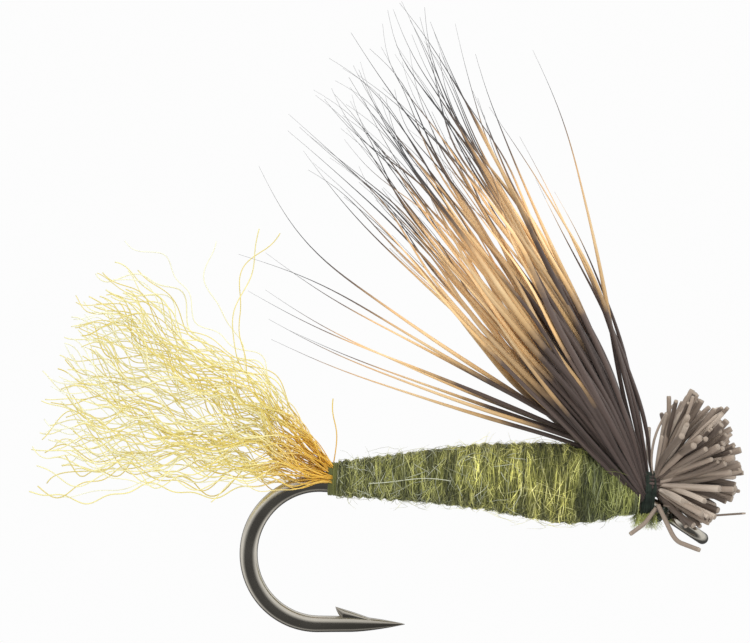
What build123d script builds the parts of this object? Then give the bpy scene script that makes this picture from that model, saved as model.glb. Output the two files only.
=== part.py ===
from build123d import *
from math import cos, radians, sin, tan
import os

# A down-wing hair dry fly tied on a size 12 down-eye hook.  Millimetres.
# Frame: origin at the centre of the hook's eye, +X forward along the shank, +Z up, Y across.
# The wing lies up and back over the body, and the yarn shuck trails behind the bend.

# ---- hook -------------------------------------------------------------------------------
WIRE_D = 0.45            # forged wire, shank, bend and spear
SHANK_LENGTH = 10.39     # eye centre back to where the bend starts
SHANK_HEIGHT = 0.583     # shank axis above the eye centre
BEND_R = 1.99            # bend radius on the wire's axis
SPEAR_RISE_DEG = 3.5     # the spear climbs this much towards the point
SPEAR_LENGTH = 2.45      # bend end to the point
POINT_LENGTH = 1.55      # ground needle point
POINT_TIP_R = 0.015
BARB_FROM_POINT = 1.95   # barb's raised tip, back from the point
BARB_LENGTH = 0.95       # sliver, tip to root
BARB_LIFT = 0.27         # tip above the spear's skin
BARB_WIDTH = 0.20
BARB_CUT_DEPTH = 0.07    # notch left in the spear under the sliver
EYE_WIRE_D = 0.34        # tapered eye wire
EYE_HOLE_D = 0.76
EYE_LAND_DEPTH = 0.03    # how far the hole's straight land is worn into the round wire
EYE_DOWN_DEG = 30.0      # eye turned down from the shank
NECK_R = 0.80            # bend where the neck leaves the shank
NECK_END_D = 0.29        # neck where it runs into the back of the eye

# ---- thread and fits --------------------------------------------------------------------
WRAP_GAP = 0.01          # clearance between a wrapped layer and what it is wrapped on
THREAD_BASE_T = 0.04     # flat thread base on the shank
BINDING_T = 0.08         # wraps that hold the shuck
BINDING_LENGTH = 0.30
BINDING_TO_BEND = 0.09
COLLAR_T = 0.07          # wraps that hold the wing hair
COLLAR_LENGTH = 0.47
COLLAR_FRONT = 0.95      # eye centre back to the collar's front
WHIP_T = 0.06            # whip finish on the neck
WHIP_LENGTH = 0.18
WHIP_TO_EYE = 0.04
CEMENT_T = 0.025         # cement film over the whip finish

# ---- dubbed body ------------------------------------------------------------------------
DUBBING_WALL = 0.06      # least dubbing under the shank and over the yarn stub
BODY_FRONT_R = 0.57
# (share of body length from the rear, radius, depth below the shank axis)
BODY_WAISTS = (
    (0.10, 0.56, 0.36),
    (0.25, 0.70, 0.37),
    (0.47, 0.92, 0.46),
    (0.67, 1.08, 0.63),
    (0.77, 1.12, 0.69),
    (0.88, 0.98, 0.64),
    (0.95, 0.76, 0.48),
)
FUZZ_R = 0.16            # tuft of dubbing left under the collar
FUZZ_TIP_R = 0.05
FUZZ_DROP = 0.28

# ---- shuck yarn -------------------------------------------------------------------------
STUB_R = 0.13            # yarn bound along the top of the shank
STUB_LENGTH = 6.8
LOCK_LENGTH = 8.45
LOCK_UNEVEN = 0.06       # share by which the shortest lock is shorter
LOCK_ROOT_R = 0.04
LOCK_TIP_R = 0.36
LOCK_ROW_PITCH = 0.09    # rows of locks where they leave the binding
LOCK_COLUMN_PITCH = 0.22
LOCK_COLUMN_SPREAD_DEG = 9.0
LOCK_ROWS_DEG = {
    "shuck_bottom_locks": 6.0,
    "shuck_lower_locks": 13.5,
    "shuck_middle_locks": 21.0,
    "shuck_upper_locks": 28.0,
    "shuck_top_locks": 34.0,
}
STRAY_YARN_R = 0.045
# (reach back from the binding, height above the eye, offset across) of each loose fibre's end
STRAY_YARN_ENDS = (
    (-0.05, 2.9, 0.0),
    (2.7, 7.5, -0.5),
    (2.2, 7.1, 0.5),
    (4.5, 7.1, 0.9),
    (8.35, -0.12, -0.6),
)

# ---- wing hair --------------------------------------------------------------------------
WAIST_R = 0.345          # hair bundle crushed under the collar
WAIST_SHOW = 0.05        # bundle standing out of the collar's front
HAIR_R = 0.09
HAIR_TIP_R = 0.02
HAIR_ROOT_R = 0.02
WING_HAIR_LENGTH = 14.5
WING_UNEVEN = 1.1        # how much shorter the shortest hair is
WING_ROOT_SINK = 0.125   # point that the wing flexes about, below the collar's top
WING_ROOT_CLEAR = 0.55   # hair roots stand this far out from the flexing point
WING_SWELL_AT = 3.5      # hair is full thickness this far out
WING_LOW_DEG = 42.0
WING_HIGH_DEG = 62.0
WING_HALF_SPREAD_DEG = 13.0
WING_HAIRS_IN_TIER = 8
WING_TIERS = (
    "wing_lowest_hairs",
    "wing_lower_hairs",
    "wing_low_middle_hairs",
    "wing_middle_hairs",
    "wing_high_middle_hairs",
    "wing_upper_hairs",
    "wing_highest_hairs",
    "wing_ridge_hairs",
)
# (length, degrees above the shank, degrees across) of hairs that stand apart from the wing
WING_STRAYS = (
    (12.5, 71.5, -2.0),
    (14.5, 36.0, 3.0),
    (14.2, 37.5, -5.0),
)
DRAPED_HAIR_R = 0.055
DRAPED_ROOT_CLEAR = 0.10  # hair roots above the collar
DRAPED_ROOT_PITCH = 0.13  # hair roots across the collar
# (length, degrees above the shank, degrees across) of hairs lying back over the body
DRAPED_HAIRS = (
    (11.6, 19.0, -9.0),
    (11.0, 17.0, -4.5),
    (11.4, 18.5, 0.0),
    (11.1, 16.5, 4.5),
    (11.8, 18.0, 9.0),
)

# ---- hair butts -------------------------------------------------------------------------
BUTT_R = 0.09
BUTT_ROOT_R = 0.02
BUTT_ROOT_CLEAR = 0.20
BUTT_SWELL_AT = 1.10
BUTT_FAN_FORWARD = 0.12  # centre of the fan ahead of the bundle's cut front
BUTT_LENGTH = 2.40
BUTT_UNEVEN = 0.12       # how much shorter the shortest butt is clipped
BUTT_EXTRA_ABOVE = 0.40  # the butts are clipped longer on top
BUTT_ACROSS_DEG = (-42.0, -28.0, -14.0, 0.0, 14.0, 28.0, 42.0)
BUTT_ROWS_DEG = {
    "head_butts_back": (92.0, 78.0),
    "head_butts_top": (64.0, 50.0),
    "head_butts_front": (36.0, 22.0),
    "head_butts_nose": (8.0, -6.0),
}
BUTT_OPEN_DEG = 7.0      # below level, columns nearer the middle are left out for a line through the eye
BUTT_UNDER_DEG = -20.0
BUTT_UNDER_ACROSS_DEG = (-42.0, -28.0, 28.0, 42.0)
BUTT_LOW_DEG = -48.0
BUTT_LOW_ACROSS_DEG = (-64.0, -50.0, 50.0, 64.0)
BUTT_LOW_LENGTH = 1.92
STRAY_BUTT_R = 0.07
# joints of the two bent strays below the head: (forward, across, up)
STRAY_BUTT_PATH = ((-1.02, -0.50, 0.36), (-1.30, -0.58, 0.02), (-1.66, -0.62, -0.25))
KINKED_BUTT_PATH = ((-0.78, -0.62, 0.30), (-0.30, -0.88, -0.28), (0.32, -0.96, -0.55))

# ---- worked out from the sizes above ----------------------------------------------------
WIRE_R = WIRE_D / 2
EYE_WIRE_R = EYE_WIRE_D / 2
EYE_HOLE_R = EYE_HOLE_D / 2
EYE_MEAN_R = EYE_HOLE_R - EYE_LAND_DEPTH + EYE_WIRE_R
EYE_DOWN = radians(EYE_DOWN_DEG)
EYE_FORWARD = Vector(cos(EYE_DOWN), 0, -sin(EYE_DOWN))
EYE_AXIS = Vector(-sin(EYE_DOWN), 0, -cos(EYE_DOWN))
NECK_CORNER = SHANK_HEIGHT / sin(EYE_DOWN)      # along the eye's line from its centre
NECK_TANGENT = NECK_R * tan(EYE_DOWN / 2)
SHANK_FRONT_X = -NECK_CORNER * cos(EYE_DOWN) - NECK_TANGENT

COLLAR_FRONT_X = -COLLAR_FRONT
COLLAR_REAR_X = COLLAR_FRONT_X - COLLAR_LENGTH
BINDING_REAR_X = -SHANK_LENGTH + BINDING_TO_BEND
BODY_REAR_X = BINDING_REAR_X + BINDING_LENGTH
BODY_LENGTH = COLLAR_REAR_X - BODY_REAR_X

BASE_R = WIRE_R + WRAP_GAP + THREAD_BASE_T
STUB_Z = SHANK_HEIGHT + BASE_R + WRAP_GAP + STUB_R
STUB_FRONT_X = BINDING_REAR_X + STUB_LENGTH
CORE_BOTTOM = BASE_R + WRAP_GAP                  # below the shank axis
CORE_TOP = STUB_Z - SHANK_HEIGHT + STUB_R + WRAP_GAP
BODY_REAR_R = (CORE_TOP + CORE_BOTTOM) / 2 + DUBBING_WALL

WAIST_Z = SHANK_HEIGHT + WIRE_R + WRAP_GAP + WAIST_R
WAIST_FRONT_X = COLLAR_FRONT_X + WAIST_SHOW
NECK_DROP = max(0.0, COLLAR_FRONT_X - SHANK_FRONT_X) ** 2 / (2 * NECK_R)
COLLAR_BOTTOM_Z = SHANK_HEIGHT - NECK_DROP - WIRE_R - WRAP_GAP - COLLAR_T
COLLAR_TOP_Z = WAIST_Z + WAIST_R + WRAP_GAP + COLLAR_T
WING_ROOT = Vector((COLLAR_FRONT_X + COLLAR_REAR_X) / 2, 0, COLLAR_TOP_Z - WING_ROOT_SINK)
BUTT_ROOT = Vector(WAIST_FRONT_X + BUTT_FAN_FORWARD, 0, WAIST_Z)


def rod(start, direction, stations):
    """Round solid along a line, from (distance, radius) stations joined by straight tapers."""
    outline = Polyline(
        (0, stations[0][0]),
        *[(r, s) for s, r in stations],
        (0, stations[-1][0]),
        close=True,
    )
    profile = make_face(outline)
    upright = revolve(Plane.XZ * profile, Axis.Z)
    return Plane(origin=start, z_dir=direction) * upright


def fan_direction(up_deg, across_deg, forward):
    """Unit vector at an angle above the shank and across it, pointing forward (1) or back (-1)."""
    up, across = radians(up_deg), radians(across_deg)
    return Vector(forward * cos(across) * cos(up), sin(across), cos(across) * sin(up))


def outline_round(circles, grow):
    """Outline stretched round (height, radius) circles on the middle plane, grown all round."""
    rings = [Pos(0, z) * Circle(r + grow) for z, r in circles]
    if len(rings) == 1:
        return rings[0]
    return make_hull([edge for ring in rings for edge in ring.edges()])


def along_shank(section, x0, x1):
    """Section drawn across the shank, carried from x0 to x1."""
    return extrude(Plane.YZ.offset(x0) * section, x1 - x0)


def wraps(circles, thickness, x0, x1):
    """Layer of thread wound round the circles with the wrap clearance."""
    ring = outline_round(circles, WRAP_GAP + thickness) - outline_round(circles, WRAP_GAP)
    return along_shank(ring, x0, x1)


def uneven(index):
    """Repeatable scatter between 0 and 1 for the index."""
    return (index * 0.61803) % 1.0


# ---- hook -------------------------------------------------------------------------------
def make_eye():
    """Ring of the tapered wire, across the line that the neck comes in on."""
    ring_plane = Plane(origin=(0, 0, 0), x_dir=EYE_FORWARD, z_dir=EYE_AXIS)
    return ring_plane * Torus(EYE_MEAN_R, EYE_WIRE_R)


def make_neck():
    """Turned-down neck: an arc off the shank, then a taper into the back of the eye."""
    arc_centre = Vector(SHANK_FRONT_X, 0, SHANK_HEIGHT - NECK_R)
    start = Plane(origin=(SHANK_FRONT_X, 0, SHANK_HEIGHT), x_dir=(0, 1, 0), z_dir=(1, 0, 0))
    arc = revolve(start * Circle(WIRE_R), Axis(arc_centre, (0, 1, 0)), EYE_DOWN_DEG)
    taper_length = NECK_CORNER - NECK_TANGENT - EYE_MEAN_R
    taper_start = EYE_FORWARD * -(NECK_CORNER - NECK_TANGENT)
    taper = rod(taper_start, EYE_FORWARD, ((0, WIRE_R), (taper_length, NECK_END_D / 2)))
    return arc + taper


def make_bend():
    """Round bend from the end of the shank to the start of the spear."""
    start = Plane(origin=(-SHANK_LENGTH, 0, SHANK_HEIGHT), x_dir=(0, 1, 0), z_dir=(-1, 0, 0))
    centre = Vector(-SHANK_LENGTH, 0, SHANK_HEIGHT - BEND_R)
    return revolve(start * Circle(WIRE_R), Axis(centre, (0, -1, 0)), 180 + SPEAR_RISE_DEG)


def make_spear():
    """Spear with a ground point, and a barb raised from its inner side."""
    rise = radians(SPEAR_RISE_DEG)
    along = Vector(cos(rise), 0, sin(rise))
    start = Vector(
        -SHANK_LENGTH + BEND_R * sin(rise), 0, SHANK_HEIGHT - BEND_R - BEND_R * cos(rise)
    )
    body_end = SPEAR_LENGTH - POINT_LENGTH
    shoulder = body_end + POINT_LENGTH * 0.45
    spear = rod(
        start,
        along,
        ((0, WIRE_R), (body_end, WIRE_R), (shoulder, WIRE_R * 0.68), (SPEAR_LENGTH, POINT_TIP_R)),
    )
    side = Plane(origin=start, x_dir=along, z_dir=(0, -1, 0))
    tip = SPEAR_LENGTH - BARB_FROM_POINT
    root = tip + BARB_LENGTH
    notch = tip + BARB_LENGTH * 0.36
    sliver = Polyline(
        (tip, WIRE_R + BARB_LIFT),
        (notch, WIRE_R - BARB_CUT_DEPTH),
        (root, WIRE_R * 0.3),
        (root, WIRE_R * 0.62),
        (notch + 0.16, WIRE_R + BARB_LIFT * 0.42),
        close=True,
    )
    cut = Polyline(
        (tip - 0.10, WIRE_R + 0.02),
        (notch, WIRE_R - BARB_CUT_DEPTH),
        (notch + 0.05, WIRE_R + 0.02),
        close=True,
    )
    cutter = extrude(side * make_face(cut), WIRE_R, both=True)
    barb = extrude(side * make_face(sliver), BARB_WIDTH / 2, both=True)
    return spear - cutter + barb


def make_hook():
    """Hook in one piece of wire: eye, neck, shank, bend, spear, barb and point."""
    shank = along_shank(
        outline_round([(SHANK_HEIGHT, WIRE_R)], 0), -SHANK_LENGTH, SHANK_FRONT_X
    )
    hole = Plane(origin=(0, 0, 0), z_dir=EYE_AXIS) * Cylinder(EYE_HOLE_R, 4 * EYE_WIRE_D)
    return shank + make_bend() + make_spear() + make_neck() + make_eye() - hole


# ---- thread, yarn stub and dubbing ------------------------------------------------------
def make_thread_base():
    """Flat thread base wound on the shank under the body."""
    return wraps([(SHANK_HEIGHT, WIRE_R)], THREAD_BASE_T, BODY_REAR_X, COLLAR_REAR_X)


def make_stub():
    """Yarn bound down on top of the shank."""
    section = outline_round([(STUB_Z, STUB_R)], 0)
    return along_shank(section, BINDING_REAR_X, STUB_FRONT_X)


def make_binding():
    """Wraps that hold the yarn down at the rear of the body."""
    held = [(SHANK_HEIGHT, WIRE_R), (STUB_Z, STUB_R)]
    return wraps(held, BINDING_T, BINDING_REAR_X, BODY_REAR_X)


def make_body():
    """Dubbed body, built up towards the front, wound round the shank and the yarn stub."""
    rear = (0.0, BODY_REAR_R, CORE_BOTTOM + DUBBING_WALL)
    front = (1.0, BODY_FRONT_R, CORE_BOTTOM + DUBBING_WALL)
    rings = []
    for share, radius, under in (rear, *BODY_WAISTS, front):
        height = SHANK_HEIGHT - under + radius
        plane = Plane.YZ.offset(BODY_REAR_X + share * BODY_LENGTH)
        rings.append(plane * Pos(0, height) * Circle(radius))
    skin = loft(rings)
    core = along_shank(
        outline_round([(SHANK_HEIGHT, BASE_R), (STUB_Z, STUB_R)], WRAP_GAP),
        BODY_REAR_X,
        STUB_FRONT_X,
    )
    ahead = along_shank(
        outline_round([(SHANK_HEIGHT, BASE_R)], WRAP_GAP), STUB_FRONT_X, COLLAR_REAR_X
    )
    return skin - core - ahead


def make_fuzz():
    """Tuft of dubbing hanging under the collar."""
    top = Vector(WING_ROOT.X, 0, COLLAR_BOTTOM_Z - WRAP_GAP)
    return rod(top, (0, 0, -1), ((0, FUZZ_R), (FUZZ_DROP, FUZZ_TIP_R)))


def make_waist():
    """Hair bundle where the collar crushes it on top of the wire."""
    return along_shank(outline_round([(WAIST_Z, WAIST_R)], 0), COLLAR_REAR_X, WAIST_FRONT_X)


def make_collar():
    """Thread collar round the wire and the crushed hair."""
    held = [
        (SHANK_HEIGHT - NECK_DROP, WIRE_R),
        (SHANK_HEIGHT, WIRE_R),
        (WAIST_Z, WAIST_R),
    ]
    return wraps(held, COLLAR_T, COLLAR_REAR_X, COLLAR_FRONT_X)


def neck_band(inner_r, outer_r):
    """Sleeve on the turned-down neck, just behind the eye."""
    eye_back = EYE_MEAN_R + EYE_WIRE_R + WHIP_TO_EYE
    sleeve = Cylinder(outer_r, WHIP_LENGTH) - Cylinder(inner_r, WHIP_LENGTH)
    centre = EYE_FORWARD * -(eye_back + WHIP_LENGTH / 2)
    return Plane(origin=centre, z_dir=EYE_FORWARD) * sleeve


def make_whip():
    """Whip finish knot wound on the neck."""
    inner = WIRE_R + WRAP_GAP
    return neck_band(inner, inner + WHIP_T)


def make_cement():
    """Cement film over the whip finish."""
    inner = WIRE_R + 2 * WRAP_GAP + WHIP_T
    return neck_band(inner, inner + CEMENT_T)


# ---- shuck ------------------------------------------------------------------------------
def make_lock_row(row, up_deg):
    """Three locks of fluffed yarn side by side, widening to their ends."""
    locks = []
    for column in (-1, 0, 1):
        root = Vector(
            BINDING_REAR_X - WRAP_GAP,
            column * LOCK_COLUMN_PITCH,
            SHANK_HEIGHT + WIRE_R + 2 * LOCK_ROOT_R + row * LOCK_ROW_PITCH,
        )
        direction = fan_direction(up_deg, column * LOCK_COLUMN_SPREAD_DEG, -1)
        length = LOCK_LENGTH * (1 - LOCK_UNEVEN * uneven(3 * row + column + 1))
        start = root + direction * LOCK_ROOT_R
        locks.append(rod(start, direction, ((0, LOCK_ROOT_R), (length, LOCK_TIP_R))))
    return locks


def make_stray_yarn():
    """Loose fibres that leave the fan of locks."""
    top = SHANK_HEIGHT + WIRE_R + 2 * LOCK_ROOT_R + len(LOCK_ROWS_DEG) * LOCK_ROW_PITCH
    fibres = []
    for index, (back, height, across) in enumerate(STRAY_YARN_ENDS):
        low = height < SHANK_HEIGHT
        side = -1 if across < 0 else 1
        root = Vector(
            BINDING_REAR_X - 0.06 - 0.13 * index,
            side * (3 * LOCK_COLUMN_PITCH if low else 0.06 * index),
            SHANK_HEIGHT + WIRE_R if low else top + 0.18 * index,
        )
        end = Vector(BINDING_REAR_X - back, across, height)
        line = end - root
        fibres.append(rod(root, line, ((0, STRAY_YARN_R), (line.length, STRAY_YARN_R))))
    return fibres


# ---- wing -------------------------------------------------------------------------------
def wing_hair(length, up_deg, across_deg):
    """Straight hair out of the collar: thin where it is crushed, full, then drawn to a tip."""
    direction = fan_direction(up_deg, across_deg, -1)
    stations = (
        (WING_ROOT_CLEAR, HAIR_ROOT_R),
        (WING_SWELL_AT, HAIR_R),
        (length, HAIR_TIP_R),
    )
    return rod(WING_ROOT, direction, stations)


def make_wing_tier(tier):
    """One layer of wing hairs, every second layer shifted half a space across."""
    step_up = (WING_HIGH_DEG - WING_LOW_DEG) / (len(WING_TIERS) - 1)
    step_across = 2 * WING_HALF_SPREAD_DEG / (WING_HAIRS_IN_TIER - 0.5)
    hairs = []
    for place in range(WING_HAIRS_IN_TIER):
        across = -WING_HALF_SPREAD_DEG + (place + 0.5 * (tier % 2)) * step_across
        shorter = WING_UNEVEN * uneven(tier * WING_HAIRS_IN_TIER + place)
        hairs.append(wing_hair(WING_HAIR_LENGTH - shorter, WING_LOW_DEG + tier * step_up, across))
    return hairs


def make_draped_hairs():
    """Lowest hairs, lying back over the body from the top of the collar."""
    hairs = []
    middle = (len(DRAPED_HAIRS) - 1) / 2
    for place, (length, up_deg, across_deg) in enumerate(DRAPED_HAIRS):
        across = (place - middle) * DRAPED_ROOT_PITCH
        root = Vector(WING_ROOT.X, across, COLLAR_TOP_Z + DRAPED_ROOT_CLEAR)
        stations = ((0, HAIR_ROOT_R), (WING_SWELL_AT, DRAPED_HAIR_R), (length, HAIR_TIP_R))
        hairs.append(rod(root, fan_direction(up_deg, across_deg, -1), stations))
    return hairs


# ---- head -------------------------------------------------------------------------------
def butt(length, up_deg, across_deg):
    """Square-cut hair butt flaring out of the front of the crushed bundle."""
    stations = ((BUTT_ROOT_CLEAR, BUTT_ROOT_R), (BUTT_SWELL_AT, BUTT_R), (length, BUTT_R))
    return rod(BUTT_ROOT, fan_direction(up_deg, across_deg, 1), stations)


def make_butt_row(up_deg, across_degs):
    """One fan of butts across the head at an angle up, clipped to nearly one length."""
    length = BUTT_LENGTH + BUTT_EXTRA_ABOVE * sin(radians(max(up_deg, 0.0)))
    return [
        butt(length - BUTT_UNEVEN * uneven(column + round(up_deg)), up_deg, across)
        for column, across in enumerate(across_degs)
    ]


def columns_at(up_deg):
    """Angles across the head at which a row has butts."""
    return [across for across in BUTT_ACROSS_DEG if up_deg > 0 or abs(across) > BUTT_OPEN_DEG]


def make_under_butts():
    """Butts below the nose, and the few on each side that point down past the eye."""
    low = [butt(BUTT_LOW_LENGTH, BUTT_LOW_DEG, across) for across in BUTT_LOW_ACROSS_DEG]
    return make_butt_row(BUTT_UNDER_DEG, BUTT_UNDER_ACROSS_DEG) + low


def bent_butt(path):
    """Stray butt with one kink: two straight pieces meeting in a rounded elbow."""
    a, b, c = (Vector(*point) for point in path)
    first = rod(a, b - a, ((0, STRAY_BUTT_R), ((b - a).length, STRAY_BUTT_R)))
    second = rod(b, c - b, ((0, STRAY_BUTT_R), ((c - b).length, STRAY_BUTT_R)))
    return first + second + Pos(b) * Sphere(STRAY_BUTT_R)


# ---- every piece to its own file --------------------------------------------------------
pieces = {
    "hook": [make_hook()],
    "thread_base": [make_thread_base()],
    "shuck_stub": [make_stub()],
    "shuck_binding": [make_binding()],
    "body_dubbing": [make_body()],
    "collar_dubbing": [make_fuzz()],
    "hair_waist": [make_waist()],
    "collar_thread": [make_collar()],
    "whip_finish": [make_whip()],
    "head_cement": [make_cement()],
    "shuck_stray_fibres": make_stray_yarn(),
    "wing_stray_hairs": [wing_hair(*stray) for stray in WING_STRAYS],
    "draped_hairs": make_draped_hairs(),
    "head_butts_under": make_under_butts(),
    "stray_butt": [bent_butt(STRAY_BUTT_PATH)],
    "kinked_butt": [bent_butt(KINKED_BUTT_PATH)],
}
for row, (name, up_deg) in enumerate(LOCK_ROWS_DEG.items()):
    pieces[name] = make_lock_row(row, up_deg)
for tier, name in enumerate(WING_TIERS):
    pieces[name] = make_wing_tier(tier)
for name, rows in BUTT_ROWS_DEG.items():
    pieces[name] = [hair for up_deg in rows for hair in make_butt_row(up_deg, columns_at(up_deg))]

os.makedirs("parts", exist_ok=True)
for name, members in pieces.items():
    solids = [solid for member in members for solid in member.solids()]
    shape = solids[0] if len(solids) == 1 else Compound(children=solids)
    export_step(shape, f"parts/{name}.step")
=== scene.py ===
import bpy
import numpy as np
from mathutils import Matrix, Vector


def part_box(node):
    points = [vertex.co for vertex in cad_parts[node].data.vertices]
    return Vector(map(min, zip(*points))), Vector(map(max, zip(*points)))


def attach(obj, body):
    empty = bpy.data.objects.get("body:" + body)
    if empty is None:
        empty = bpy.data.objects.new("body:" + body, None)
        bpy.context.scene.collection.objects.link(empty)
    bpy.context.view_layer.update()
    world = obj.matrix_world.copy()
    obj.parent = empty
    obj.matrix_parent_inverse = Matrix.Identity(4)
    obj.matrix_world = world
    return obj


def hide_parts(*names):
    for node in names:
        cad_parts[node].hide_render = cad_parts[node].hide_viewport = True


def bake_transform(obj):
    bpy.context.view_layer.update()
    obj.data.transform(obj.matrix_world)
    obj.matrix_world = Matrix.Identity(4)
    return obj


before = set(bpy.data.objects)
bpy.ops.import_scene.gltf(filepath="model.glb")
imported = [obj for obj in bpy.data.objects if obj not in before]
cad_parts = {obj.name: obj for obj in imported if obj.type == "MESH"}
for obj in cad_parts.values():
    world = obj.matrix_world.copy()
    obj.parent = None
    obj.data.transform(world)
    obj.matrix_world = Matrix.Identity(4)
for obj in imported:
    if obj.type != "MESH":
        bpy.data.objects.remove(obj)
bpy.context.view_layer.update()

# A down-wing hair dry fly.  Lengths below are in millimetres, and meshes are written in metres.
# X runs forward along the hook's shank, Z up and Y across; the eye's centre is the origin.
MM = 0.001
RNG = np.random.default_rng(12)


def cad_box(node):
    """Lowest and highest corner of a CAD node in millimetres."""
    low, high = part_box(node)
    return np.array(low) / MM, np.array(high) / MM


# ---- sizes taken from the frame -----------------------------------------------------------
HOOK_LOW = cad_box("hook")[0]
BODY_LOW, BODY_HIGH = cad_box("body_dubbing")
COLLAR_LOW, COLLAR_HIGH = cad_box("collar_thread")
BINDING_LOW, BINDING_HIGH = cad_box("shuck_binding")
WAIST_LOW, WAIST_HIGH = cad_box("hair_waist")
BASE_LOW, BASE_HIGH = cad_box("thread_base")
STUB_LOW, STUB_HIGH = cad_box("shuck_stub")
FUZZ_LOW, FUZZ_HIGH = cad_box("collar_dubbing")

SHANK_Z = (BASE_LOW[2] + BASE_HIGH[2]) / 2
WIRE_R = 0.225
BEND_X = BINDING_LOW[0] - 0.09
COLLAR_MID = (COLLAR_LOW + COLLAR_HIGH) / 2
WAIST_Z = (WAIST_LOW[2] + WAIST_HIGH[2]) / 2


# ---- mesh making --------------------------------------------------------------------------
def mesh_object(name, points, loops, sizes, attributes=None):
    """Mesh piece from points in millimetres and faces given as one run of corners with each face's size."""
    mesh = bpy.data.meshes.new(name)
    mesh.vertices.add(len(points))
    mesh.vertices.foreach_set("co", (points * MM).astype(np.float32).ravel())
    mesh.loops.add(len(loops))
    mesh.loops.foreach_set("vertex_index", loops.astype(np.int32))
    mesh.polygons.add(len(sizes))
    starts = np.concatenate(([0], np.cumsum(sizes)[:-1]))
    mesh.polygons.foreach_set("loop_start", starts.astype(np.int32))
    mesh.polygons.foreach_set("loop_total", sizes.astype(np.int32))
    mesh.polygons.foreach_set("use_smooth", np.full(len(sizes), True))
    for key, values in (attributes or {}).items():
        layer = mesh.attributes.new(key, "FLOAT", "POINT")
        layer.data.foreach_set("value", values.astype(np.float32).ravel())
    mesh.update(calc_edges=True)
    mesh.validate()
    piece = bpy.data.objects.new(name, mesh)
    bpy.context.scene.collection.objects.link(piece)
    return piece


def unit(vectors):
    """Vectors scaled to length one along the last axis."""
    return vectors / np.maximum(np.linalg.norm(vectors, axis=-1, keepdims=True), 1e-12)


def tubes(name, centres, radii, sides=6, tone=None, across=(0.0, 1.0, 0.0), attributes=None):
    """Round fibres along many paths at once, as one mesh.

    centres is (fibres, stations, 3) and radii (fibres, stations).  Each ring stands across its path:
    tangent t is the path's difference, n is t crossed with the across vector, b is t crossed with n,
    and a ring point is centre + radius * (cos a * n + sin a * b).  Both ends are closed by a flat ring.
    """
    count, stations, _ = centres.shape
    tangent = unit(np.gradient(centres, axis=1))
    normal = unit(np.cross(tangent, np.asarray(across)))
    binormal = np.cross(tangent, normal)
    angle = np.linspace(0.0, 2 * np.pi, sides, endpoint=False)
    ring = (
        normal[:, :, None, :] * np.cos(angle)[None, None, :, None]
        + binormal[:, :, None, :] * np.sin(angle)[None, None, :, None]
    )
    points = centres[:, :, None, :] + ring * radii[:, :, None, None]
    index = np.arange(count * stations * sides).reshape(count, stations, sides)
    following = np.roll(index, -1, axis=2)
    quads = np.stack(
        (index[:, :-1], index[:, 1:], following[:, 1:], following[:, :-1]), axis=-1
    ).reshape(-1, 4)
    caps = np.concatenate((index[:, 0, :], index[:, -1, ::-1]))
    loops = np.concatenate((quads.ravel(), caps.ravel()))
    sizes = np.concatenate((np.full(len(quads), 4), np.full(len(caps), sides)))
    along = np.broadcast_to(np.linspace(0, 1, stations)[None, :, None], index.shape)
    shade = RNG.random(count) if tone is None else tone
    values = {
        "along": along,
        "shade": np.broadcast_to(shade[:, None, None], index.shape),
    }
    for key, value in (attributes or {}).items():
        values[key] = np.broadcast_to(value[:, :, None], index.shape)
    return mesh_object(name, points.reshape(-1, 3), loops, sizes, values)


def skin(name, grid, attributes=None):
    """Closed-round surface through a (stations, points round, 3) grid, its ends shut by flat faces."""
    stations, sides, _ = grid.shape
    index = np.arange(stations * sides).reshape(stations, sides)
    following = np.roll(index, -1, axis=1)
    quads = np.stack((index[:-1], index[1:], following[1:], following[:-1]), axis=-1).reshape(-1, 4)
    loops, sizes = quads.ravel(), np.full(len(quads), 4)
    caps = np.stack((index[0], index[-1][::-1]))
    loops = np.concatenate((loops, caps.ravel()))
    sizes = np.concatenate((sizes, np.full(2, sides)))
    return mesh_object(name, grid.reshape(-1, 3), loops, sizes, attributes)


def walk(start, up_deg, side_deg, length, back=-1.0):
    """Paths that set off from start points and turn as they go.

    up_deg and side_deg are (fibres, stations) angles above the shank and across it; each step adds
    length / steps along (back * cos side * cos up, sin side, cos side * sin up).
    """
    up, side = np.radians(up_deg), np.radians(side_deg)
    step = np.stack(
        (back * np.cos(side) * np.cos(up), np.sin(side), np.cos(side) * np.sin(up)), axis=-1
    )
    stride = (length / (up.shape[1] - 1))[:, None, None]
    moves = (step[:, 1:] + step[:, :-1]) / 2 * stride
    offsets = np.concatenate((np.zeros((len(up), 1, 3)), np.cumsum(moves, axis=1)), axis=1)
    return start[:, None, :] + offsets


def knots(values, stations):
    """Rows of a few knot values, eased into smooth runs of many stations by a cosine step between knots."""
    values = np.asarray(values, dtype=float)
    place = np.linspace(0, values.shape[1] - 1, stations)
    low = np.minimum(place.astype(int), values.shape[1] - 2)
    ease = (1 - np.cos(np.pi * (place - low))) / 2
    return values[:, low] * (1 - ease) + values[:, low + 1] * ease


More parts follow.
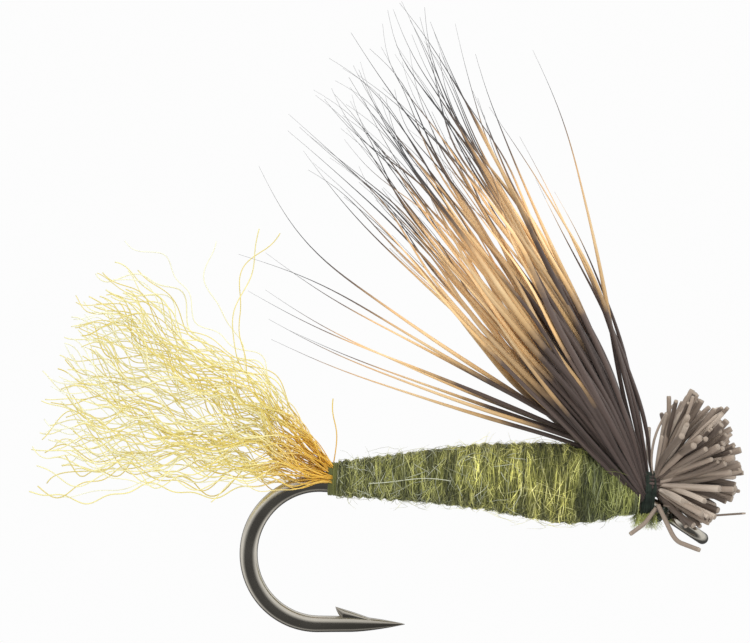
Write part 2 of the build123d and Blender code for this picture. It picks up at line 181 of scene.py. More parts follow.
# ---- materials ----------------------------------------------------------------------------
class Paint:
    """Node-based material: a Principled shader with small helpers that add the nodes before it."""

    def __init__(self, name, roughness=0.5, **settings):
        self.material = bpy.data.materials.new(name)
        self.material.use_nodes = True
        self.tree = self.material.node_tree
        self.shader = self.tree.nodes["Principled BSDF"]
        self.shader.inputs["Roughness"].default_value = roughness
        for key, value in settings.items():
            self.shader.inputs[key.replace("_", " ")].default_value = value

    def feed(self, socket, value):
        """Sets an input to a value, or joins another node's output to it."""
        if isinstance(value, bpy.types.NodeSocket):
            self.tree.links.new(value, socket)
        else:
            socket.default_value = value

    def node(self, kind, **inputs):
        """New node, with its inputs set to a number, a colour or another node's output."""
        new = self.tree.nodes.new(kind)
        for key, value in inputs.items():
            self.feed(new.inputs[key], value)
        return new

    def attribute(self, key):
        new = self.tree.nodes.new("ShaderNodeAttribute")
        new.attribute_name = key
        return new.outputs["Fac"]

    def place(self, scale):
        """Object coordinates stretched by a scale for each axis."""
        coords = self.tree.nodes.new("ShaderNodeTexCoord").outputs["Object"]
        return self.node("ShaderNodeMapping", Vector=coords, Scale=scale).outputs[0]

    def noise(self, vector, scale, detail=3.0):
        new = self.node("ShaderNodeTexNoise", Vector=vector, Scale=scale, Detail=detail)
        return new.outputs["Fac"]

    def math(self, operation, a, b):
        new = self.tree.nodes.new("ShaderNodeMath")
        new.operation = operation
        for socket, value in zip(new.inputs, (a, b)):
            self.feed(socket, value)
        return new.outputs[0]

    def ramp(self, factor, stops):
        """Colour ramp from (place, colour) stops."""
        new = self.tree.nodes.new("ShaderNodeValToRGB")
        elements = new.color_ramp.elements
        while len(elements) < len(stops):
            elements.new(0.5)
        for element, (where, colour) in zip(elements, stops):
            element.position = where
            element.color = (*colour, 1.0)
        self.tree.links.new(factor, new.inputs[0])
        return new.outputs["Color"]

    def mix(self, factor, a, b, blend="MIX"):
        new = self.tree.nodes.new("ShaderNodeMix")
        new.data_type = "RGBA"
        new.blend_type = blend
        for socket, value in ((new.inputs[0], factor), (new.inputs[6], a), (new.inputs[7], b)):
            plain = isinstance(value, (float, bpy.types.NodeSocket))
            self.feed(socket, value if plain else (*value, 1.0))
        return new.outputs[2]

    def link(self, output, key):
        self.tree.links.new(output, self.shader.inputs[key])

    def bump(self, height, distance, strength=1.0):
        new = self.node("ShaderNodeBump", Height=height, Distance=distance, Strength=strength)
        self.link(new.outputs[0], "Normal")


def bronzed_wire():
    """Dark bronzed steel: brown-black lacquer, fine drawing marks, and painted shade that darkens the spear
    towards its point and the barb towards its tip.
    """
    paint = Paint("bronzed_wire", 0.24, Metallic=1.0, Coat_Weight=0.5, Coat_Roughness=0.08)
    grain = paint.noise(paint.place((900, 5200, 900)), 1.0)
    tint = paint.ramp(grain, ((0.3, (0.46, 0.43, 0.37)), (0.7, (0.64, 0.60, 0.52))))
    # painted shade: the spear darkens towards its point, and the barb towards its tip
    spear_shade = paint.attribute("spear_shade")
    colour = paint.mix(spear_shade, tint, (0.36, 0.33, 0.28))
    paint.link(colour, "Base Color")
    rough = paint.math("MULTIPLY_ADD", grain, 0.10)
    paint.link(rough, "Roughness")
    rough.node.inputs[2].default_value = 0.13
    paint.bump(grain, 0.000004, 0.4)
    return paint.material


def wing_hair():
    """Banded hollow hair: grey-brown base, tan band, near-black tip, with fine scales along it."""
    paint = Paint("wing_hair", 0.38, Specular_IOR_Level=0.45, Sheen_Weight=0.08)
    shade = paint.attribute("shade")
    band = paint.attribute("band")
    scales = paint.noise(paint.place((2600, 2600, 2600)), 1.0)
    wander = paint.math("MULTIPLY_ADD", scales, 0.06)
    paint.tree.links.new(band, wander.node.inputs[2])
    bands = paint.ramp(
        wander,
        (
            (0.02, (0.065, 0.046, 0.041)),
            (0.31, (0.105, 0.076, 0.064)),
            (0.38, (0.680, 0.440, 0.200)),
            (0.52, (0.900, 0.650, 0.350)),
            (0.64, (0.800, 0.510, 0.245)),
            (0.74, (0.150, 0.105, 0.078)),
            (0.84, (0.062, 0.064, 0.068)),
            (1.00, (0.125, 0.128, 0.132)),
        ),
    )
    light = paint.ramp(
        shade, ((0.0, (0.62, 0.60, 0.60)), (0.55, (0.95, 0.95, 0.95)), (1.0, (1.35, 1.32, 1.3)))
    )
    paint.link(paint.mix(1.0, bands, light, "MULTIPLY"), "Base Color")
    paint.bump(scales, 0.000006, 0.5)
    return paint.material


def hair_butts():
    """Thick hair butts: taupe sides and pale pithy cut ends."""
    paint = Paint("hair_butts", 0.42, Specular_IOR_Level=0.4, Sheen_Weight=0.08)
    shade = paint.attribute("shade")
    grain = paint.noise(paint.place((2300, 2300, 2300)), 1.0)
    sides = paint.ramp(
        shade, ((0.0, (0.085, 0.062, 0.048)), (0.5, (0.38, 0.30, 0.235)), (1.0, (0.64, 0.545, 0.45)))
    )
    mottled = paint.mix(paint.math("MULTIPLY", grain, 0.35), sides, (0.24, 0.19, 0.155))
    cut = paint.ramp(paint.attribute("cut"), ((0.45, (0.0, 0.0, 0.0)), (0.75, (1.0, 1.0, 1.0))))
    paint.link(paint.mix(cut, mottled, (0.35, 0.285, 0.225)), "Base Color")
    paint.bump(grain, 0.000008, 0.5)
    return paint.material


def gold_yarn():
    """Crinkled synthetic yarn: shiny, gold, paler in single fibres and orange-brown near the binding, there
    partly its packed colour and partly painted shade.
    """
    paint = Paint("gold_yarn", 0.34, Specular_IOR_Level=0.5, Sheen_Weight=0.1)
    shade = paint.attribute("shade")
    fibre = paint.ramp(
        shade, ((0.0, (0.77, 0.60, 0.12)), (0.5, (0.89, 0.78, 0.28)), (1.0, (0.94, 0.90, 0.56)))
    )
    # darker and oranger near the binding: the packed yarn's deeper colour and painted shade; paler towards the
    # tips
    root = paint.ramp(
        paint.attribute("depth"),
        (
            (0.0, (0.86, 0.56, 0.16)),
            (0.11, (0.95, 0.70, 0.30)),
            (0.28, (1.0, 1.0, 1.0)),
            (1.0, (0.93, 0.98, 1.25)),
        ),
    )
    paint.link(paint.mix(1.0, fibre, root, "MULTIPLY"), "Base Color")
    paint.bump(paint.noise(paint.place((5200, 5200, 5200)), 1.0), 0.000004, 0.4)
    return paint.material


def olive_dubbing(name, brighten):
    """Mixed olive underfur: fibres from dark olive to yellow-green, greyer at the rear, with painted light and
    shade in stripes across the body and along its length.
    """
    paint = Paint(name, 0.8, Specular_IOR_Level=0.14, Sheen_Weight=0.12, Sheen_Roughness=0.5)
    shade = paint.attribute("shade")
    fibre = paint.ramp(
        shade,
        (
            (0.0, (0.045, 0.050, 0.020)),
            (0.35, (0.115, 0.120, 0.042)),
            (0.70, (0.225, 0.225, 0.080)),
            (0.92, (0.420, 0.410, 0.170)),
            (1.0, (0.620, 0.600, 0.380)),
        ),
    )
    # painted light and shade of the rope's turns: noise stretched into light and dark stripes across the body
    clump = paint.noise(paint.place((5200, 700, 700)), 1.0, 2.0)
    painted_rib_shading = paint.ramp(clump, ((0.36, (0.60, 0.63, 0.57)), (0.62, (brighten, brighten, brighten * 0.80))))
    mixed = paint.mix(1.0, fibre, painted_rib_shading, "MULTIPLY")
    x = paint.node("ShaderNodeSeparateXYZ", Vector=paint.place((1, 1, 1))).outputs["X"]
    along = paint.node("ShaderNodeMapRange", Value=x)
    for socket, value in zip(along.inputs[1:5], (BODY_LOW[0] * MM, BODY_HIGH[0] * MM, 0.0, 1.0)):
        socket.default_value = value
    grey = paint.ramp(along.outputs[0], ((0.0, (0.18, 0.18, 0.18)), (0.5, (0.0, 0.0, 0.0))))
    # painted light and shade along the body: darker at the rear, brightest over the middle, darker again in a
    # band near the front
    painted_body_shading = paint.ramp(
        along.outputs[0],
        (
            (0.30, (0.64, 0.66, 0.62)),
            (0.48, (1.12, 1.11, 1.00)),
            (0.74, (1.04, 1.02, 0.90)),
            (0.83, (0.46, 0.51, 0.52)),
            (1.00, (0.64, 0.69, 0.64)),
        ),
    )
    greyed = paint.mix(grey, mixed, (0.17, 0.18, 0.125))
    paint.link(paint.mix(1.0, greyed, painted_body_shading, "MULTIPLY"), "Base Color")
    paint.bump(paint.noise(paint.place((3800, 1500, 1500)), 1.0), 0.00002, 0.7)
    return paint.material


def grey_fibre():
    """Pale grey-green guard fibres scattered through the dubbing."""
    paint = Paint("grey_fibre", 0.6, Specular_IOR_Level=0.3)
    shade = paint.ramp(paint.attribute("shade"), ((0.8, (0.36, 0.39, 0.27)), (1.0, (0.74, 0.76, 0.62))))
    mottle = paint.noise(paint.place((2500, 2500, 2500)), 1.0)
    paint.link(paint.mix(paint.math("MULTIPLY", mottle, 0.6), shade, (0.34, 0.36, 0.20)), "Base Color")
    return paint.material


def dark_thread():
    """Waxed, very dark green thread with twisted filaments."""
    paint = Paint("dark_thread", 0.45, Specular_IOR_Level=0.4, Sheen_Weight=0.1)
    twist = paint.noise(paint.place((3000, 9000, 9000)), 1.0)
    colour = paint.ramp(twist, ((0.3, (0.007, 0.013, 0.009)), (0.7, (0.022, 0.036, 0.025))))
    paint.link(colour, "Base Color")
    paint.bump(twist, 0.000008, 0.8)
    return paint.material


def head_cement():
    """Clear head cement, which shows the dark thread under it."""
    paint = Paint("head_cement", 0.12, Coat_Weight=1.0, Coat_Roughness=0.04)
    ripple = paint.noise(paint.place((1500, 1500, 1500)), 1.0)
    colour = paint.ramp(ripple, ((0.3, (0.014, 0.022, 0.014)), (0.7, (0.035, 0.045, 0.03))))
    paint.link(colour, "Base Color")
    paint.bump(ripple, 0.00001, 0.3)
    return paint.material


BRONZE = bronzed_wire()
HAIR = wing_hair()
BUTT = hair_butts()
YARN = gold_yarn()
DUBBING = olive_dubbing("olive_dubbing", 1.6)
FUZZ = olive_dubbing("olive_fuzz", 2.6)
GREY = grey_fibre()
THREAD = dark_thread()
CEMENT = head_cement()


def dress(piece, material, slot, *nodes, body="tied_hook"):
    """Gives a piece its material, ties it to the tied_hook body or else bakes its place into its mesh, and
    hides the CAD nodes that it stands for; slot is not used.
    """
    piece.data.materials.append(material)
    if body == "tied_hook":
        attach(piece, body)
    elif body == "wing":
        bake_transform(piece)
    else:
        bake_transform(piece)
    if nodes:
        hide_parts(*nodes)
    return piece


# ---- hook ---------------------------------------------------------------------------------
EYE_DOWN = np.radians(30.0)
EYE_MEAN_R = 0.52
EYE_WIRE_R = 0.17
NECK_R = 0.80
BEND_R = 1.99
SPEAR_RISE = np.radians(3.5)
SPEAR_LENGTH = 2.45
NEEDLE_LENGTH = 1.55
NECK_ALONG = np.array((np.cos(EYE_DOWN), 0, -np.sin(EYE_DOWN)))
SPEAR_ALONG = np.array((np.cos(SPEAR_RISE), 0, np.sin(SPEAR_RISE)))
ACROSS = np.array((0.0, 1.0, 0.0))


def arc_points(centre, radius, start, sweep, count):
    """Points on an arc in the middle plane; angles run from +X towards +Z."""
    angle = start + sweep * np.linspace(0, 1, count)
    return np.stack(
        (centre[0] + radius * np.cos(angle), np.zeros(count), centre[1] + radius * np.sin(angle)), axis=-1
    )


def hook_wire():
    """Wire from the back of the eye to the point, carried along one path in the middle plane.

    The path is the neck's straight, its arc, the shank, the round bend and the spear.  The radius grows
    from the eye's wire to the full wire over the neck, and falls to the needle point as 1 - s^1.6.
    The bend is forged: there the section is deeper in the middle plane by a seventh and thinner across.
    """
    corner = SHANK_Z / np.sin(EYE_DOWN)
    tangent = NECK_R * np.tan(EYE_DOWN / 2)
    neck_far = corner - tangent
    neck = -NECK_ALONG * np.linspace(EYE_MEAN_R, neck_far, 12)[:, None]
    front_x = -corner * np.cos(EYE_DOWN) - tangent
    bend_in = arc_points((front_x, SHANK_Z - NECK_R), NECK_R, np.pi / 2 - EYE_DOWN, EYE_DOWN, 14)[1:]
    shank = np.stack((np.linspace(front_x, BEND_X, 60), np.zeros(60), np.full(60, SHANK_Z)), axis=-1)[1:]
    bend = arc_points((BEND_X, SHANK_Z - BEND_R), BEND_R, np.pi / 2, np.pi + SPEAR_RISE, 90)[1:]
    spear = bend[-1] + SPEAR_ALONG * (SPEAR_LENGTH * np.linspace(0, 1, 60)[1:, None] ** 0.8)
    path = np.concatenate((neck, bend_in, shank, bend, spear))
    travel = np.concatenate(([0], np.cumsum(np.linalg.norm(np.diff(path, axis=0), axis=1))))
    grow = np.clip(travel / (neck_far - EYE_MEAN_R), 0, 1)
    from_point = travel[-1] - travel
    needle = np.clip(1 - from_point / NEEDLE_LENGTH, 0, 1)
    radius = (EYE_WIRE_R * 0.86 * (1 - grow) + WIRE_R * grow) * (1 - needle**1.6 * 0.96)
    forged = np.exp(-(((from_point - 5.4) / 3.0) ** 4))
    deep, squeeze = 1 + 0.14 * forged, 1 - 0.14 * forged
    step = unit(np.gradient(path, axis=0))
    normal = np.stack((-step[:, 2], step[:, 1], step[:, 0]), axis=-1)
    angle = np.linspace(0, 2 * np.pi, 28, endpoint=False)
    grid = path[:, None, :] + radius[:, None, None] * (
        normal[:, None, :] * (deep[:, None] * np.cos(angle)[None, :])[:, :, None]
        + ACROSS * (squeeze[:, None] * np.sin(angle)[None, :])[:, :, None]
    )
    # painted shade along the spear, strongest at the point
    spear_shade = np.clip(1 - from_point / 2.8, 0, 1) ** 0.8
    return skin("hook_wire", grid, {"spear_shade": np.broadcast_to(spear_shade[:, None], grid.shape[:2])})


def hook_eye():
    """Eye bent from the tapered wire: a ring turned down from the shank, its free end shut on the neck."""
    count = 84
    gap = 0.16
    turn = np.linspace(np.pi + gap, 3 * np.pi + gap * 0.2, count)
    across = np.array((0.0, 1.0, 0.0))
    path = EYE_MEAN_R * (NECK_ALONG * np.cos(turn)[:, None] + across * np.sin(turn)[:, None])
    radius = np.full(count, EYE_WIRE_R)
    radius[0], radius[-1] = EYE_WIRE_R * 0.8, EYE_WIRE_R * 0.8
    normal = unit(path)
    axis = np.cross(NECK_ALONG, across)
    angle = np.linspace(0, 2 * np.pi, 24, endpoint=False)
    grid = path[:, None, :] + radius[:, None, None] * (
        normal[:, None, :] * np.cos(angle)[None, :, None] + axis * np.sin(angle)[None, :, None]
    )
    return skin("hook_eye_ring", grid, {"spear_shade": np.zeros(grid.shape[:2])})


def hook_barb():
    """Barb cut up from the inner side of the spear.

    Its top runs straight from the lifted tip down to the wire, 1.05 mm on; its underside drops from the
    tip to the wire in the first fifth, and from there on is buried in the wire.
    """
    lift = np.array((-np.sin(SPEAR_RISE), 0, np.cos(SPEAR_RISE)))
    start = np.array((BEND_X + BEND_R * np.sin(SPEAR_RISE), 0, SHANK_Z - BEND_R * (1 + np.cos(SPEAR_RISE))))
    share = np.linspace(0, 1, 40) ** 1.5
    along = 0.48 + 1.05 * share
    needle = np.clip(1 - (SPEAR_LENGTH - along) / NEEDLE_LENGTH, 0, 1)
    wire = WIRE_R * (1 - needle**1.6 * 0.96)
    top = wire + 0.27 * (1 - share) ** 1.15 - 0.02 * share
    under = np.minimum(wire + 0.27 - 0.40 * np.clip(share / 0.2, 0, 1) ** 0.7, top - 0.012)
    centre = start + SPEAR_ALONG * along[:, None] + lift * ((top + under) / 2)[:, None]
    deep = (top - under) / 2
    wide = np.minimum(0.015 + 0.12 * np.clip(share / 0.22, 0, 1) ** 0.8, wire * 0.8)
    angle = np.linspace(0, 2 * np.pi, 16, endpoint=False)
    grid = (
        centre[:, None, :]
        + lift * (deep[:, None] * np.cos(angle))[:, :, None]
        + ACROSS * (wide[:, None] * np.sin(angle))[:, :, None]
    )
    # painted shade on the barb, strongest at its tip
    spear_shade = np.broadcast_to(0.8 * (1 - share)[:, None], grid.shape[:2])
    return skin("hook_barb", grid, {"spear_shade": spear_shade})


for wire_piece in (hook_wire(), hook_eye(), hook_barb()):
    dress(wire_piece, BRONZE, "bronzed_wire", "hook")


# ---- thread -------------------------------------------------------------------------------
def wound_path(x0, x1, low, high, width_low, width_high, turns, stations_in_turn=40, wander=0.0):
    """One thread wound along X round an egg-shaped outline.

    The outline's height is middle + half height * sin a, and its half width runs evenly from width_low
    at the bottom to width_high at the top.  The thread creeps along X as it turns, with a slow wander.
    """
    angle = np.linspace(0, 2 * np.pi * turns, int(turns * stations_in_turn))
    share = angle / angle[-1]
    middle, half = (low + high) / 2, (high - low) / 2
    width = width_low + (width_high - width_low) * (np.sin(angle) + 1) / 2
    x = x0 + (x1 - x0) * share + wander * np.sin(angle * 0.37 + 1.0)
    return np.stack((x, width * np.cos(angle), middle + half * np.sin(angle)), axis=-1)


def wound_thread(name, path, radius, sides=8, tone=0.5):
    """Thread tube along a wound path."""
    radii = np.full((1, len(path)), radius)
    return tubes(name, path[None], radii, sides, np.array([tone]), across=(1.0, 0.0, 0.0))


THREAD_R = 0.038


def collar():
    """Collar of thread: two close layers and one crossing layer round the crushed hair and the wire."""
    x0, x1 = COLLAR_LOW[0] + THREAD_R, COLLAR_HIGH[0] - THREAD_R
    low, high = COLLAR_LOW[2] + THREAD_R, COLLAR_HIGH[2] - THREAD_R
    inner = wound_path(x0, x1, low, high - 0.10, 0.27, 0.33, 6.5, wander=0.01)
    outer = wound_path(x1 - 0.03, x0 + 0.02, low - 0.02, high - 0.06, 0.29, 0.36, 5.5, wander=0.03)
    cross = wound_path(x0 + 0.02, x1 - 0.02, low - 0.04, high - 0.03, 0.31, 0.38, 2.5, wander=0.05)
    for number, path in enumerate((inner, outer, cross)):
        layer = wound_thread(f"collar_thread_layer_{number + 1}", path, THREAD_R)
        dress(layer, THREAD, "dark_thread", "collar_thread")


def binding():
    """Close wraps over the yarn at the rear of the body, with a little of it ribbed forward."""
    x0, x1 = BINDING_LOW[0] + THREAD_R, BINDING_HIGH[0] + 0.10
    low, high = BINDING_LOW[2] + THREAD_R, BINDING_HIGH[2] - THREAD_R
    path = wound_path(x0, x1, low, high, 0.29, 0.24, 5.5, wander=0.008)
    wraps = wound_thread("shuck_binding_wraps", path, THREAD_R * 1.15, tone=0.5)
    dress(wraps, DUBBING, "dark_thread", "shuck_binding")


def thread_base():
    """Open spiral of thread on the shank under the dubbing."""
    radius = 0.02
    low, high = SHANK_Z - WIRE_R - radius, SHANK_Z + WIRE_R + radius
    path = wound_path(BASE_LOW[0], BASE_HIGH[0], low, high, WIRE_R + radius, WIRE_R + radius, 60, 20)
    dress(wound_thread("thread_base_wraps", path, radius, 5), THREAD, "dark_thread", "thread_base")


def neck_wraps():
    """Whip finish on the neck, with its film of cement over it."""
    up = np.array((np.sin(EYE_DOWN), 0, np.cos(EYE_DOWN)))
    near = -(EYE_MEAN_R + EYE_WIRE_R + 0.04)
    angle = np.linspace(0, 2 * np.pi * 3, 120)
    place = near - 0.03 - 0.12 * np.linspace(0, 1, 120)
    radius = WIRE_R + 0.035
    side = np.array((0.0, 1.0, 0.0))
    path = NECK_ALONG * place[:, None] + radius * (up * np.cos(angle)[:, None] + side * np.sin(angle)[:, None])
    knot = tubes("whip_finish_wraps", path[None], np.full((1, 120), 0.028), 8, across=tuple(NECK_ALONG))
    dress(knot, THREAD, "dark_thread", "whip_finish")
    share = np.linspace(0, 1, 24)
    film_r = WIRE_R + 0.075 + 0.022 * np.sin(np.pi * share) - 0.05 * (np.abs(share - 0.5) * 2) ** 6
    round_deg = np.linspace(0, 2 * np.pi, 40, endpoint=False)
    centre = NECK_ALONG * (near - 0.20 * share)[:, None]
    grid = centre[:, None, :] + film_r[:, None, None] * (
        up * np.cos(round_deg)[None, :, None] + side * np.sin(round_deg)[None, :, None]
    )
    dress(skin("head_cement_film", grid), CEMENT, "cement", "head_cement")


collar()
binding()
thread_base()
neck_wraps()


# ---- dubbed body --------------------------------------------------------------------------
# (share of the body's length from the rear, radius, depth below the shank's axis)
BODY_SHAPE = np.array((
    (0.00, 0.432, 0.260),
    (0.10, 0.503, 0.256),
    (0.25, 0.640, 0.260),
    (0.47, 0.855, 0.350),
    (0.67, 1.032, 0.560),
    (0.77, 1.075, 0.625),
    (0.87, 0.905, 0.490),
    (0.95, 0.600, 0.270),
    (1.00, 0.390, 0.225),
))


def body_section(share):
    """Radius and centre height of the dubbed body at shares of its length, by smooth interpolation."""
    fine = np.linspace(0, 1, 400)
    kernel = np.hanning(41)
    kernel /= kernel.sum()
    found = []
    for column in (1, 2):
        raw = np.interp(fine, BODY_SHAPE[:, 0], BODY_SHAPE[:, column])
        padded = np.pad(raw, 20, mode="edge")
        found.append(np.interp(share, fine, np.convolve(padded, kernel, mode="valid")))
    radius, under = found
    return radius, SHANK_Z - under + radius


def on_body(x, angle, lift):
    """Points on the body at X and an angle round it, lifted off its skin."""
    share = np.clip((x - BODY_LOW[0]) / (BODY_HIGH[0] - BODY_LOW[0]), 0, 1)
    radius, middle = body_section(share)
    reach = radius + lift
    return np.stack((x, reach * np.cos(angle), middle + reach * np.sin(angle)), axis=-1)


def wrap_ridge(x, angle):
    """Height of the dubbing rope's rounded turns: a helix whose turns widen towards the front."""
    share = (x - BODY_LOW[0]) / (BODY_HIGH[0] - BODY_LOW[0])
    turns = 30 * share - 7 * share**2
    uneven = 0.75 + 0.25 * np.sin(5.1 * x + 0.7) + 0.25 * np.sin(1.9 * x)
    return 0.025 * uneven * np.cos(2 * np.pi * turns + angle + 0.5 * np.sin(1.3 * x))


def body_core():
    """Packed dubbing: the body's skin with the rope's turns and soft lumps pressed into it."""
    x = np.linspace(BODY_LOW[0], BODY_HIGH[0], 520)[:, None]
    angle = np.linspace(0, 2 * np.pi, 120, endpoint=False)[None, :]
    x, angle = np.broadcast_arrays(x, angle)
    lump = 0.018 * np.sin(3 * angle + 2.1 * x) + 0.012 * np.sin(7 * angle - 5.3 * x + 1.0)
    shade = 0.30 + 0.16 * np.sin(2.9 * x + 2 * angle) + 0.12 * np.sin(11 * angle + 8 * x)
    grid = on_body(x, angle, wrap_ridge(x, angle) + lump - 0.035)
    dress(skin("dubbed_body", grid, {"shade": shade}), DUBBING, "olive_dubbing", "body_dubbing")


def body_fibres(
    name, count, length, lean_deg, lift, radius, material, curl=0.0, tone=None, stations=7, until=1.0
):
    """Underfur fibres laid round the body, from its rear to a share of its length.

    Each starts at a random place, runs round the body at a lean from square, and stands off the skin by
    lift[0] + lift[1] * sin(pi * s) + lift[2] * s^1.6 along its length s, waving sideways by curl.
    """
    last = BODY_LOW[0] + until * (BODY_HIGH[0] - BODY_LOW[0])
    x0 = RNG.uniform(BODY_LOW[0] + 0.03, last - 0.05, count)[:, None]
    angle0 = RNG.uniform(0, 2 * np.pi, count)[:, None]
    lean = np.radians(RNG.normal(0, lean_deg, count))[:, None]
    size = (length[0] + (length[1] - length[0]) * RNG.random(count) ** 1.6)[:, None]
    way = RNG.choice((-1.0, 1.0), count)[:, None]
    s = np.linspace(0, 1, stations)[None, :]
    wave = curl * RNG.normal(0, 1, (count, 1)) * np.sin(np.pi * s * RNG.uniform(0.8, 2.2, (count, 1)))
    x = np.clip(x0 + s * size * np.sin(lean) + wave, BODY_LOW[0] + 0.01, BODY_HIGH[0] - 0.02)
    share = (x0 - BODY_LOW[0]) / (BODY_HIGH[0] - BODY_LOW[0])
    girth, _ = body_section(share)
    angle = angle0 + way * s * size * np.cos(lean) / girth
    spread = RNG.random((count, 1))
    stand = lift[0] * spread + lift[1] * spread * np.sin(np.pi * s)
    stand = stand + lift[2] * RNG.random((count, 1)) * s**1.6
    centres = on_body(x, angle, wrap_ridge(x, angle) + stand)
    taper = radius * (1 - 0.75 * np.abs(2 * s - 1) ** 3) * RNG.uniform(0.7, 1.25, (count, 1))
    dress(
        tubes(name, centres, taper, 3, tone(count) if tone else None, across=(1.0, 0.2, 0.1)),
        material,
        "olive_dubbing",
        "body_dubbing",
    )


def pale(count):
    """Shades of the palest fibres."""
    return 0.8 + 0.2 * RNG.random(count)


def stray_fuzz():
    """Fine fibres that stand away from the body, thin and pale."""
    body_fibres("body_fuzz_short", 1700, (0.2, 0.6), 45, (0.02, 0.04, 0.17), 0.0058, FUZZ, 0.04, pale, 6)
    body_fibres("body_fuzz_long", 260, (0.5, 2.0), 55, (0.03, 0.10, 0.42), 0.0045, FUZZ, 0.14, pale, 9)
    body_fibres(
        "body_grey_fibres", 420, (0.3, 1.1), 50, (0.07, 0.04, 0.04), 0.0085, GREY, 0.05, pale, 7, 0.62
    )


body_core()
for number in range(3):
    body_fibres(
        f"body_wrap_fibres_{number + 1}", 3600, (0.5, 2.2), 8, (0.040, 0.02, 0.02), 0.0120, DUBBING, 0.015
    )
body_fibres(
    "body_light_fibres", 1300, (0.4, 1.6), 15, (0.060, 0.03, 0.05), 0.0105, FUZZ, 0.03,
    tone=lambda count: 0.7 + 0.3 * RNG.random(count),
)
stray_fuzz()


def pale_fibre():
    """One long pale fibre lying along the flank near the rear."""
    x = np.linspace(-9.1, -6.8, 30)
    angle = np.pi + 0.12 + 0.10 * np.sin(1.9 * x) + 0.02 * (x + 8)
    centres = on_body(x, angle, 0.10)[None]
    piece = tubes("body_pale_fibre", centres, np.full((1, 30), 0.011), 5, np.array([1.0]))
    dress(piece, GREY, "olive_dubbing", "body_dubbing")


pale_fibre()


def collar_tuft():
    """Tuft of yellow-green dubbing hanging under the collar."""
    count = 420
    angle = RNG.uniform(0, 2 * np.pi, count)
    ring = 0.20 * np.sqrt(RNG.random(count))
    middle = (FUZZ_LOW + FUZZ_HIGH) / 2
    start = np.stack(
        (middle[0] + ring * np.cos(angle), ring * np.sin(angle), np.full(count, FUZZ_HIGH[2] + 0.16)),
        axis=-1,
    )
    s = np.linspace(0, 1, 7)[None, :]
    flare = RNG.uniform(0.05, 0.34, (count, 1))
    drop = RNG.uniform(0.18, 0.52, (count, 1))
    swirl = RNG.normal(0, 0.05, (count, 1)) * np.sin(np.pi * 1.4 * s)
    centres = np.stack(
        (
            start[:, :1] + flare * np.cos(angle)[:, None] * s + swirl,
            start[:, 1:2] + flare * np.sin(angle)[:, None] * s - swirl,
            start[:, 2:] - drop * s,
        ),
        axis=-1,
    )
    radii = 0.0075 * (1 - 0.6 * s) * np.ones((count, 1))
    tone = 0.8 + 0.2 * RNG.random(count)
    dress(tubes("collar_dubbing_tuft", centres, radii, 3, tone), FUZZ, "olive_dubbing", "collar_dubbing")


collar_tuft()


# ---- wing hair ----------------------------------------------------------------------------
HAIR_R = 0.082
# where the tan band starts and ends along a hair of the wing's full length
BASE_BAND = 5.4
TIP_BAND = 10.3


def hair_radius(distance, length, thick):
    """Hair thickness: crushed at the collar, full by 1.6 mm, then drawn to a hairline tip."""
    swell = 0.42 + 0.58 * np.clip(distance / 1.6, 0, 1) ** 0.7
    left = np.clip((length[:, None] - distance) / (length[:, None] * 0.58), 0, 1)
    return thick[:, None] * swell * (0.05 + 0.95 * left**1.6)


def hairs(
    name, up_knots, side_knots, length, thick, root, tone, *nodes, body="wing", later=0.0, stations=44
):
    """Banded hairs from a few angles each, tapered, with where they are on their bands stored for colour.

    later is how much further along than usual the dark base ends.
    """
    count = len(length)
    up = knots(up_knots, stations)
    side = knots(side_knots, stations)
    centres = walk(root, up, side, length)
    distance = np.linspace(0, 1, stations)[None, :] * length[:, None]
    early = np.clip(RNG.normal(0.0, 1.3, (count, 1)), -1.8, 2.4) + np.reshape(later, (-1, 1))
    late = np.clip(RNG.normal(0, 0.8, (count, 1)), -1.6, 1.4)
    scale = 0.5 + 0.5 * length[:, None] / 14.4
    band = np.interp(distance / scale, (0, 14.4), (0, 1))
    warp_a, warp_b = (BASE_BAND + early) / 14.4, (TIP_BAND + late) / 14.4
    low = band / warp_a * 0.34
    mid = 0.34 + (band - warp_a) / (warp_b - warp_a) * 0.34
    high = 0.68 + (band - warp_b) / (1 - warp_b) * 0.32
    band = np.where(band < warp_a, low, np.where(band < warp_b, mid, high))
    piece = tubes(
        name, centres, hair_radius(distance, length, thick), 8, tone, attributes={"band": band}
    )
    return dress(piece, HAIR, "wing_hair", *nodes, body=body)


def scattered_roots(count, forward_spread=0.10, across_spread=0.26):
    """Root points inside the collar's crushed bundle, held to its round section."""
    angle = RNG.uniform(0, 2 * np.pi, count)
    ring = np.sqrt(RNG.random(count))
    x = COLLAR_MID[0] + RNG.uniform(-forward_spread, forward_spread, count)
    y = across_spread * ring * np.cos(angle)
    z = WAIST_Z + 0.27 * ring * np.sin(angle)
    return np.stack((x, y, z), axis=-1)


WING_TIERS = (
    "wing_lowest_hairs", "wing_lower_hairs", "wing_low_middle_hairs", "wing_middle_hairs",
    "wing_high_middle_hairs", "wing_upper_hairs", "wing_highest_hairs", "wing_ridge_hairs",
)
HAIRS_IN_TIER = (8, 10, 12, 13, 14, 14, 13, 10)


